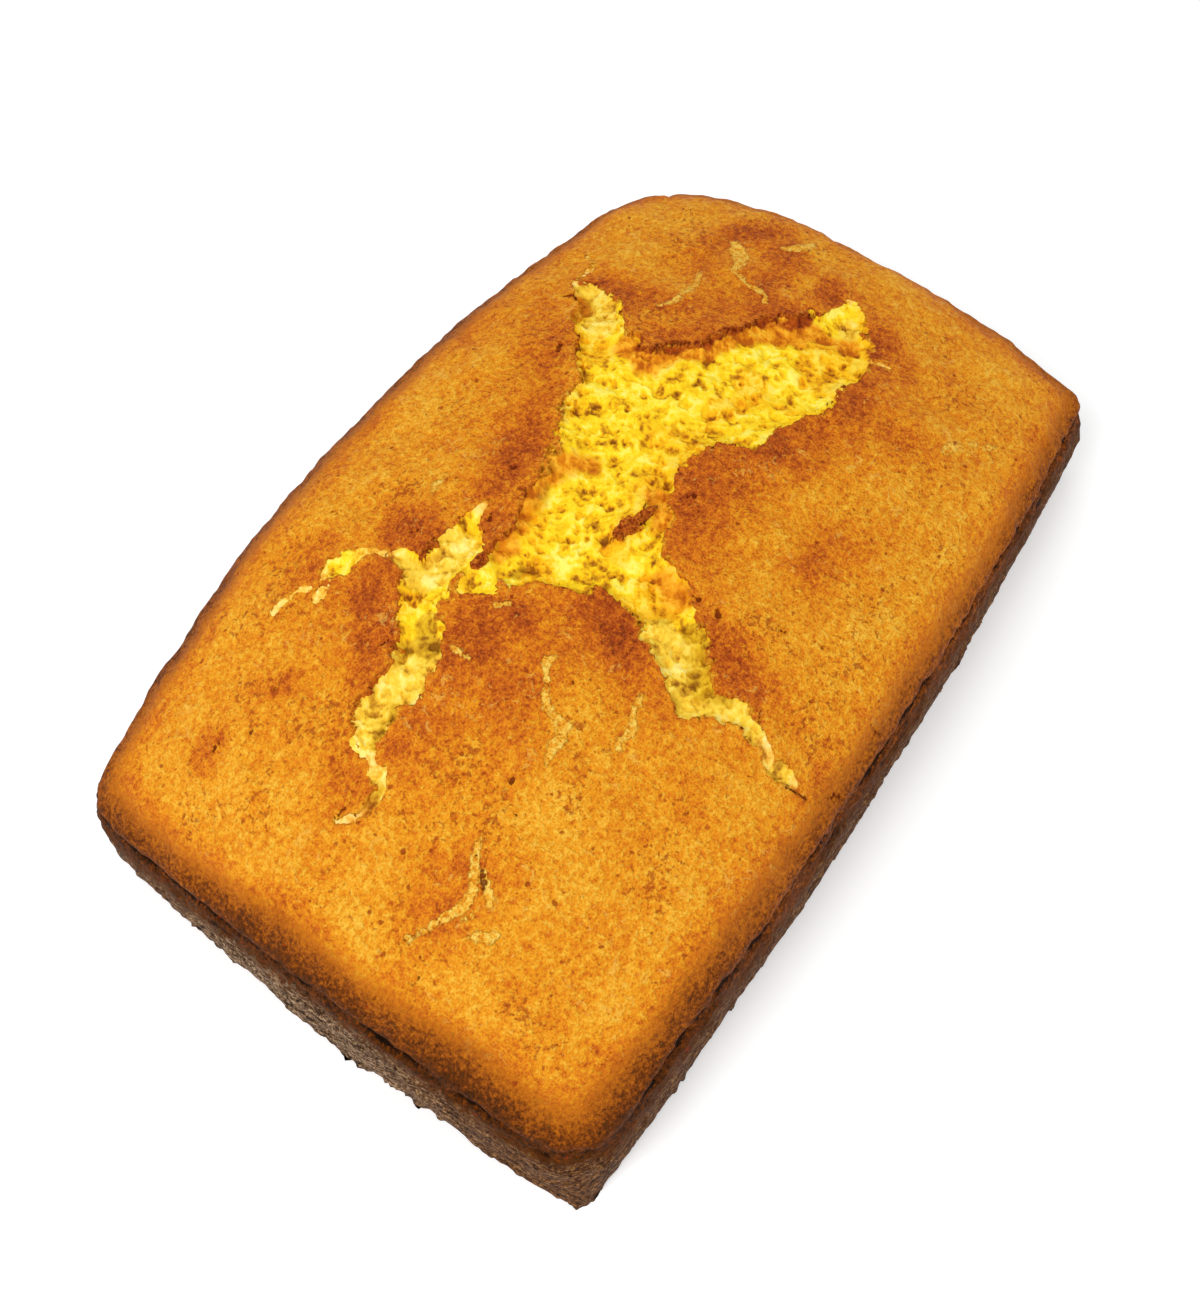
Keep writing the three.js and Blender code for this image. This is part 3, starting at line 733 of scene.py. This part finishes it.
def crumb_finish():
    finish = Finish("yellow_crumb")
    light, dim = finish.painted("light"), finish.painted("dim")
    grit = finish.grain(0.7, 3.0, 0.65)
    patch = finish.grain(3.0, 3.0, 0.62, twist=0.5)
    cluster = finish.grain(5.5, 1.0)
    # The tone drops with painted shade in the hollows and creases and in the listed shaded stretches.
    tone = (0.67 - finish.painted("pore") * 0.52 - dim * 0.16 + (grit - 0.5) * 0.40
            + (patch - 0.5) * 1.4 + (cluster - 0.5) * 0.5)
    colour = finish.ramp(tone, (0.04, 138, 82, 14), (0.20, 194, 132, 20), (0.34, 234, 178, 22),
                         (0.48, 252, 204, 22), (0.66, 255, 222, 42), (0.88, 255, 240, 106))
    paler = finish.ramp(tone, (0.04, 150, 98, 24), (0.20, 198, 144, 38), (0.36, 228, 180, 52),
                        (0.50, 243, 198, 58), (0.64, 250, 214, 80), (0.88, 255, 234, 132))
    colour = finish.mix((light + (patch - 0.5) * 0.8).between(0.2, 0.8) * 0.85, colour, paler)
    # Painted shade: olive in the listed shaded stretches.
    olive = finish.ramp(tone, (0.10, 150, 100, 16), (0.40, 200, 150, 24), (0.60, 222, 178, 36),
                        (0.84, 242, 208, 76))
    colour = finish.mix((dim + (patch - 0.5) * 0.8).between(0.2, 0.7) * 0.8, colour, olive)
    orange = finish.ramp(tone, (0.10, 150, 78, 10), (0.40, 226, 140, 12), (0.60, 250, 180, 16),
                         (0.84, 255, 210, 60))
    warm = (finish.painted("warm") + (patch - 0.5) * 1.2).between(0.35, 0.85)
    colour = finish.mix(warm * 0.6, colour, orange)
    torn_skin = finish.ramp(tone, (0.10, 168, 84, 22), (0.40, 222, 142, 44), (0.62, 250, 194, 92),
                            (0.84, 255, 222, 140))
    colour = finish.mix(finish.painted("skin") * 0.7, colour, torn_skin)
    toasted = finish.ramp(tone, (0.20, 182, 92, 12), (0.55, 226, 140, 18), (0.84, 250, 184, 44))
    toast = finish.painted("toast") + (patch - 0.5) * 0.9
    colour = finish.mix(toast.between(0.10, 0.75), colour, toasted)
    burnt = finish.ramp(tone, (0.20, 104, 36, 8), (0.60, 164, 70, 12), (0.84, 208, 110, 24))
    scorch = finish.painted("scorch") + (grit - 0.5) * 0.9
    colour = finish.mix(scorch.between(0.35, 0.85), colour, burnt)
    height = grit * 0.55 + patch * 0.3
    finish.feed(finish.shader, {"Base Color": colour, "Roughness": 0.62,
                                "Normal": finish.bump(height, 0.0006, 0.8),
                                "Specular IOR Level": 0.08})
    return finish.material


# ---------------- the crust

def crust_sheet():
    """A flat sheet over the oblong, with closer rows towards its rim."""
    us, vs = rim_stations(HALF_X), rim_stations(HALF_Y)
    piece = start_sheet("crust", len(us) - 1, len(vs) - 1)
    points = read(piece.data.vertices, "co")
    i = np.rint((points[:, 0] + 1) / 2 * (len(us) - 1)).astype(int)
    j = np.rint((points[:, 1] + 1) / 2 * (len(vs) - 1)).astype(int)
    set_points(piece.data, level(us[i], vs[j]))
    return piece


def halve_marked_faces(piece):
    """Makes the faces finer along the edge of the split and round the small marks."""
    centres = read(piece.data.polygons, "center")
    distance, _ = crack_edge(centres[:, 0], centres[:, 1])
    small, _ = beyond(centres[:, 0], centres[:, 1], DARK_SLITS + FINE_CRACKS)
    pick_faces(piece, (np.abs(distance) < CRACK_BAND) | (small < MARK_BAND))
    bpy.ops.mesh.subdivide(number_cuts=1)


def snap_to_split(u, v, distance, top):
    """Moves the points that are close to the split's edge onto it, for a clean edge."""
    near = top & (np.abs(distance) < SNAP_BAND)
    near &= (np.abs(u) < SNAP_AREA[0]) & (np.abs(v) < SNAP_AREA[1])
    du = (crack_edge(u[near] + PROBE, v[near])[0] - distance[near]) / PROBE
    dv = (crack_edge(u[near], v[near] + PROBE)[0] - distance[near]) / PROBE
    steep = np.maximum(np.hypot(du, dv), 0.5)
    move = np.clip(distance[near] / steep, -MOST_SNAP, MOST_SNAP)
    u[near] -= move * du / steep
    v[near] -= move * dv / steep
    distance[near] = 0


def wrap_loaf(u, v, row):
    """Places on the loaf for the sheet's points and for the rows of the sides below."""
    top = row == 0
    waist_x, waist_y = plan(u, v)
    base_x, base_y = base_plan(u, v)
    heights = np.array([WAIST, *WALL_ROWS])[np.clip(row, 0, len(WALL_ROWS))]
    mix = heights / WAIST
    x = np.where(top, waist_x, base_x + (waist_x - base_x) * mix)
    y = np.where(top, waist_y, base_y + (waist_y - base_y) * mix)
    return x, y, np.where(top, crust_height(u, v), heights)


def outward_normals(mesh, x, y, top):
    """The mesh's normals on the top, and level ones away from the middle on the sides."""
    normals = read(mesh.vertex_normals, "vector")
    outward = level(x, y)
    outward /= np.maximum(np.linalg.norm(outward, axis=1), 1e-6)[:, None]
    normals[~top] = outward[~top]
    return normals


def rim_furrow(at):
    """How far in from the furrow's line points lie, and how deep the furrow is there."""
    ground = level(at.x, at.y)
    line = np.where(at.u < -90, 3.4 - 0.02 * np.maximum(at.v, -20), 2.7)
    line = line + 0.45 * blobs(ground, 16.0, 75) + 0.3 * blobs(ground, 4.0, 74)
    line = line + 0.22 * blobs(ground, 1.5, 79)
    inset = np.where(at.top, from_rim(at.u, at.v), 0) - line
    dashes = 0.78 + 0.6 * blobs(ground, 9.0, 76) + 0.6 * blobs(ground, 2.4, 80)
    second = np.clip(0.2 + 1.0 * blobs(ground, 7.0, 73), 0, 0.8)
    depth = np.exp(-(inset / 0.40) ** 2) * np.clip(dashes, 0.2, 1.3)
    depth = depth + np.exp(-((inset + 1.3) / 0.3) ** 2) * second
    return inset, depth * at.top


def small_marks(at):
    """How deep the dark slits are, and how far away the thin pale cracks are."""
    slits = outside(at, DARK_SLITS)
    slits = slits + 0.15 + 0.25 * blobs(at.place, 0.9, 51)
    pit = np.where(at.top, 1 - smooth_step(-0.35, 0.15, slits), 0)
    fine = outside(at, FINE_CRACKS)
    fine = fine + 0.45 * blobs(at.place, 1.6, 52) + 0.25 * blobs(at.place, 0.8, 53)
    return pit, fine


def top_relief(at):
    """Swells, the lifted lip and torn wall of the split, its islands and the small marks."""
    relief = 0.34 * rough(at.place, 8.0, 31) + 0.22 * rough(at.place, 2.6, 35, 2)
    lift = np.exp(-np.maximum(at.distance, 0) / 2.4) * (0.18 + 0.5 * blobs(at.place, 9.0, 41))
    relief += np.where(at.distance < 8, lift * at.opened, 0)
    relief -= np.clip(-at.distance, 0, 1) * 5.5 * np.clip(0.5 + at.width / 3, 0.5, 1)
    relief += np.where(at.island < 1.5, 0.9 * crags(at.place, 1.7, 54, 3) - 0.2, 0)
    relief -= at.pit * 0.6
    relief += 0.12 * at.top * np.exp(-(at.fine - 0.2) ** 2 / 0.2)
    return relief


def side_relief(at):
    """Streaks, holes and a flaky foot on the sides, and where the holes are."""
    around = np.arctan2(at.y / HALF_Y, at.x / HALF_X) * 80
    band = np.stack([around / 6, np.zeros(len(at.x)), at.z * 1.1], axis=1)
    holes = np.clip(blobs(at.place, 1.7, 77) - 0.45, 0, 1)
    sides = 0.30 * swell(at.x + 3 * at.z, at.y - 2 * at.z) + 0.30 * rough(band, 1.6, 71)
    sides = sides - 1.1 * holes + 0.25 * rough(at.place, 1.5, 78, 2)
    foot = np.exp(-at.z / 1.0) * np.clip(rough(at.place, 1.8, 81) - 0.05, 0, 1) * 1.3
    return sides + foot, holes


def paint_browning_and_shade(mesh, at):
    """Where the crust is browned: in patches, along the split and round the rim. Some patches beside the
    split, and a faint darkening towards +X and +Y, are painted shade.
    """
    patchy = 0.5 * blobs(at.place, 3.0, 91)
    zone = outside(at, BROWNED_AND_SHADED)
    browned = 0.45 * (1 - smooth_step(-4.0, 8.0, zone + 4 * patchy))
    beside = 0.29 * np.exp(-np.maximum(at.distance, 0) / 6) * at.opened
    browned = np.maximum(browned, beside)
    deep = outside(at, DEEP_BROWN_AND_SHADE)
    deep = 1 - smooth_step(-2.5, 6.0, deep + 3 * patchy)
    # Deepest brown in the listed places, partly painted shade, and a faint painted shade towards +X and
    # +Y, away from the key lamp.
    browned += (0.72 - browned) * 0.85 * deep + 0.02 * smooth_step(-30, 60, at.u + 0.5 * at.v)
    keep(mesh, "browned", browned)
    direction = np.degrees(np.arctan2(at.y / HALF_Y, at.x / HALF_X))
    reach = np.interp(direction, *zip(*RIM_REACH)) + 0.9 * blobs(at.place, 18.0, 93)
    keep(mesh, "rim", np.where(at.top, 1 - (from_rim(at.u, at.v) - reach - 2.6) / 11, 1))


def paint_torn_edge(mesh, at):
    """How torn and scorched the lip of the split is, and how far away its edge is."""
    scorched = outside(at, SCORCHED)
    lip = np.exp(-np.maximum(at.distance, 0) / 0.55) * at.opened
    burnt = 1 - smooth_step(1.0, 3.2, scorched)
    patchy = smooth_step(0.0, 0.7, blobs(at.place, 6.0, 94) + 0.25)
    lip = lip * np.maximum(0.42 * patchy, burnt)
    keep(mesh, "torn", np.maximum(lip, 1 - smooth_step(-0.2, 1.0, at.island)) * at.top)
    keep(mesh, "edge", np.where(at.top, (at.distance + 1) / 3, 1))


def paint_sides(mesh, at):
    """Where the sides start, and the painted shade on the -Y and +Y sides, in the furrow and in the sides'
    holes.
    """
    keep(mesh, "side", np.where(at.top, 1 - smooth_step(-3.0, -0.8, at.inset), 1))
    across = at.y / HALF_Y
    # Painted shade, strongest on the -Y side and a little less on the +Y side.
    dusky = np.maximum(smooth_step(0.1, 0.8, -across), 0.8 * smooth_step(0.3, 0.8, across))
    keep(mesh, "dusky", dusky)
    # Painted shade in the furrow and in the sides' holes.
    keep(mesh, "gap", at.furrow + 1.2 * at.holes * at.wall)


def make_crust(material):
    piece = crust_sheet()
    halve_marked_faces(piece)
    pull_edge_down(len(WALL_ROWS))
    bpy.ops.mesh.edge_face_add()
    turn_outwards()

    mesh = piece.data
    flat = read(mesh.vertices, "co")
    u, v = flat[:, 0].copy(), flat[:, 1].copy()
    row = np.rint(-flat[:, 2]).astype(int)
    top = row == 0
    distance, width = np.full(len(u), FAR), np.ones(len(u))
    distance[top], width[top] = crack_edge(u[top], v[top])
    snap_to_split(u, v, distance, top)
    x, y, z = wrap_loaf(u, v, row)
    set_points(mesh, in_metres(x, y, z))
    normals = outward_normals(mesh, x, y, top)

    at = SimpleNamespace(u=u, v=v, x=x, y=y, z=z, top=top, distance=distance, width=width,
                         place=np.stack([x, y, z], axis=1), opened=np.clip(width / 3.5, 0.12, 1))
    at.island = outside(at, ISLAND)
    at.inset, at.furrow = rim_furrow(at)
    at.pit, at.fine = small_marks(at)
    at.wall = np.where(top, 1 - smooth_step(-1.0, 1.0, at.inset), 1)
    sides, at.holes = side_relief(at)
    relief = top_relief(at) * (1 - 0.8 * at.wall) + (sides - 0.25) * at.wall - 1.1 * at.furrow
    relief += 0.45 * np.exp(-((at.inset - 1.3) / 0.8) ** 2)
    at.place += normals * relief[:, None]
    at.place[row >= len(WALL_ROWS) - 1, 2] = 0
    at.place[row == len(WALL_ROWS), :2] *= BASE_SHRINK
    at.place[:, 2] = np.maximum(at.place[:, 2], 0)
    set_points(mesh, in_metres(at.place[:, 0], at.place[:, 1], at.place[:, 2]))

    paint_browning_and_shade(mesh, at)
    paint_torn_edge(mesh, at)
    paint_sides(mesh, at)
    keep(mesh, "pit", at.pit)
    # Painted shade in the low places of the long swells.
    keep(mesh, "low", 0.5 - 0.8 * rough(at.place, 8.0, 31))
    keep(mesh, "fine", smooth_step(0.5, -0.3, at.fine) * top)
    finish_piece(piece, material)


# ---------------- the crumb

def close_pinches(mask):
    """Fills corners where two faces would meet at a single point."""
    for _ in range(6):
        a, b, c, d = mask[:-1, :-1], mask[1:, :-1], mask[:-1, 1:], mask[1:, 1:]
        pinched = (a & d & ~b & ~c) | (b & c & ~a & ~d)
        if not pinched.any():
            break
        i, j = np.nonzero(pinched)
        for di in (0, 1):
            for dj in (0, 1):
                mask[i + di, j + dj] = True
    return mask


def crumb_block():
    """A flat sheet in the shape of the split, with a thickness and closed all round."""
    low_u, high_u, low_v, high_v = CRUMB_AREA
    columns = round((high_u - low_u) / CRUMB_STEP)
    rows = round((high_v - low_v) / CRUMB_STEP)
    piece = start_sheet("crumb", columns, rows)
    points = read(piece.data.vertices, "co")
    u = low_u + (points[:, 0] + 1) / 2 * (high_u - low_u)
    v = low_v + (points[:, 1] + 1) / 2 * (high_v - low_v)
    set_points(piece.data, level(u, v))

    centres = read(piece.data.polygons, "center")
    distance, width = crack_edge(centres[:, 0], centres[:, 1])
    i = np.clip(((centres[:, 0] - low_u) / CRUMB_STEP).astype(int), 0, columns - 1)
    j = np.clip(((centres[:, 1] - low_v) / CRUMB_STEP).astype(int), 0, rows - 1)
    mask = np.zeros((columns, rows), bool)
    mask[i, j] = distance < np.where(width > 1.2, CRUMB_MARGIN, NARROW_MARGIN)
    pick_faces(piece, ~close_pinches(mask)[i, j])
    bpy.ops.mesh.delete(type="FACE")
    pull_edge_down(1)
    bpy.ops.mesh.fill(use_beauty=False)
    turn_outwards()
    return piece


def shade_crumb(at):
    """How scorched, toasted and shaded the crumb is, in listed places."""
    scorched = outside(at, SCORCHED)
    at.scorch = 1 - smooth_step(-0.8, 1.8, scorched + 1.0 * blobs(at.place, 2.0, 15))
    toasted = outside(at, TOASTED)
    toasted = 1 - smooth_step(-1.5, 3.0, toasted + 1.4 * blobs(at.place, 3.0, 16))
    at.toast = np.maximum(toasted, at.scorch)
    # The listed shaded stretches: the crumb lies a little lower there and gets a painted olive shade.
    shaded = outside(at, SHADED)
    at.dim = 1 - smooth_step(-0.6, 1.4, shaded + 0.9 * blobs(at.place, 2.2, 19))
    chunk = outside(at, PALE_CHUNK)
    at.raised = 1 - smooth_step(-0.6, 0.7, chunk)


def sunken_depth(at):
    """How deep the crumb lies below the crust, deepest in the middle of the split."""
    away = np.hypot(at.u - 12, at.v - 6)
    middle = 3.0 - 1.3 * np.clip(away / 85, 0, 1)
    middle = np.minimum(middle, 0.7 + 0.55 * np.maximum(at.width, 0))
    edge_depth = np.clip(0.10 + 0.03 * at.width, 0.12, 0.25)
    sunk = edge_depth + (middle - edge_depth) * (1 - np.exp(-at.inward / 2.2))
    sunk += np.maximum(at.distance, 0) * 2.0
    return sunk + 0.3 * at.toast + 0.5 * at.dim


def torn_lumps(at):
    """The torn crumb's small lumps, and the round holes between them."""
    lumps = 0.55 - crags(at.place, 1.6, 23) + 0.4 * blobs(at.place, 2.6, 28)
    bent_u = at.u + 0.8 * blobs(at.place, 1.3, 17)
    bent_v = at.v + 0.8 * blobs(at.place, 1.3, 18)
    holes = np.maximum(craters(bent_u, bent_v, 3.6, 21, 0.32),
                       0.8 * craters(bent_u, bent_v, 2.3, 22, 0.30))
    return lumps, holes * smooth_step(-0.2, -1.0, at.distance)


def paint_crumb(mesh, at):
    # Painted shade in the crumb's holes and creases, a little lighter on its lumps.
    shadowed = 0.62 * at.holes + 0.5 * smooth_step(-0.1, -0.7, at.lumps) - 0.15 * at.lumps
    keep(mesh, "pore", shadowed * np.where(at.bottom, 0, 1))
    keep(mesh, "skin", smooth_step(1.7, 0.9, at.width))
    rim = np.exp(-at.inward / 0.3) * (at.width > 2.5)
    patchy = smooth_step(-0.1, 0.6, blobs(at.place, 5.0, 46))
    keep(mesh, "scorch", at.scorch + 0.25 * rim * patchy)
    keep(mesh, "toast", at.toast)
    keep(mesh, "dim", at.dim)
    pale = outside(at, PALE_CRUMB)
    pale = 1 - smooth_step(-1.0, 3.0, pale + 1.5 * blobs(at.place, 4.0, 43))
    keep(mesh, "light", np.maximum(pale, at.raised))
    warm = blobs(at.place, 7.0, 45) + 0.1 + 0.5 * np.exp(-at.inward / 1.5)
    keep(mesh, "warm", smooth_step(0.15, 0.75, warm) * (1 - pale))


def make_crumb(material):
    piece = crumb_block()
    flat = read(piece.data.vertices, "co")
    u, v = flat[:, 0], flat[:, 1]
    distance, width = crack_edge(u, v)
    x, y = plan(u, v)
    surface = crust_height(u, v)
    at = SimpleNamespace(u=u, v=v, bottom=flat[:, 2] < -0.5, distance=distance, width=width,
                         inward=np.maximum(-distance, 0), place=np.stack([x, y, surface], axis=1))
    shade_crumb(at)
    at.lumps, at.holes = torn_lumps(at)
    coarse = 0.55 * rough(at.place, 5.0, 33, 2)
    lively = np.clip(width / 4, 0.12, 1) * (1 - 0.55 * at.toast)
    torn = (coarse + 0.24 * at.lumps - 0.85 * at.holes) * lively
    height = surface - sunken_depth(at) + torn + at.raised * 1.5
    height = np.minimum(height, surface - 0.12 - 1.3 * np.maximum(distance, 0))
    set_points(piece.data, in_metres(x, y, np.where(at.bottom, CRUMB_BOTTOM, height)))
    paint_crumb(piece.data, at)
    finish_piece(piece, material)


# ---------------- camera, light, floor

SENSOR = 36.0                              # millimetres
PHOTO_HEIGHT = 1290                        # pixels
FOCAL_LENGTH = 1234.0                      # pixels of the photograph
AZIMUTH, ELEVATION, ROLL = math.radians(-56.387), math.radians(64.85), math.radians(1.635)
LOOK_AT, CAMERA_DISTANCE = (-0.013006, -0.004581, 0.020), 0.248812
NEAREST_SEEN = 0.005
LAMP_TARGET = (0, 0, 0.02)
FLOOR_SIZE, FLOOR_HEIGHT = 6, -0.0002
WHITE = (1, 1, 1, 1)


def make_camera():
    """Looks down on the loaf from its -X -Y corner, turned a little about its own axis."""
    back = Vector((math.sin(AZIMUTH) * math.cos(ELEVATION),
                   -math.cos(AZIMUTH) * math.cos(ELEVATION), math.sin(ELEVATION)))
    right = Vector((math.cos(AZIMUTH), math.sin(AZIMUTH), 0))
    up = back.cross(right)
    turned = math.cos(ROLL) * right + math.sin(ROLL) * up
    upward = -math.sin(ROLL) * right + math.cos(ROLL) * up
    data = bpy.data.cameras.new("camera")
    data.lens = FOCAL_LENGTH / PHOTO_HEIGHT * SENSOR
    data.sensor_width = SENSOR
    data.clip_start = NEAREST_SEEN
    camera = bpy.data.objects.new("camera", data)
    bpy.context.scene.collection.objects.link(camera)
    place = Vector(LOOK_AT) + back * CAMERA_DISTANCE
    axes = Matrix((turned, upward, back)).transposed()
    camera.matrix_world = Matrix.Translation(place) @ axes.to_4x4()
    bpy.context.scene.camera = camera


def make_lamp(name, place, size, power):
    data = bpy.data.lights.new(name, "AREA")
    data.shape = "DISK"
    data.size = size
    data.energy = power
    lamp = bpy.data.objects.new(name, data)
    bpy.context.scene.collection.objects.link(lamp)
    lamp.location = place
    aim = Vector(LAMP_TARGET) - Vector(place)
    lamp.rotation_euler = aim.to_track_quat("-Z", "Y").to_euler()


def make_floor():
    bpy.ops.object.select_all(action="DESELECT")
    bpy.ops.mesh.primitive_plane_add(size=FLOOR_SIZE, location=(0, 0, FLOOR_HEIGHT))
    floor = bpy.context.active_object
    floor.name = "floor"
    finish = Finish("pale_floor")
    finish.feed(finish.shader, {"Base Color": (0.92, 0.92, 0.92, 1), "Roughness": 0.9,
                                "Emission Color": WHITE, "Emission Strength": 0.22})
    floor.data.materials.append(finish.material)


def make_studio():
    make_floor()
    world = bpy.data.worlds.new("studio")
    world.use_nodes = True
    background = world.node_tree.nodes["Background"]
    background.inputs["Color"].default_value = WHITE
    background.inputs["Strength"].default_value = 0.68
    bpy.context.scene.world = world
    make_lamp("key", (-0.45, 0.10, 0.62), 0.30, 2.6)
    make_lamp("fill", (0.2, -0.5, 0.7), 0.7, 1.0)
    view = bpy.context.scene.view_settings
    view.view_transform = "Standard"
    view.look = "None"


make_camera()
make_crust(crust_finish())
make_crumb(crumb_finish())
make_studio()
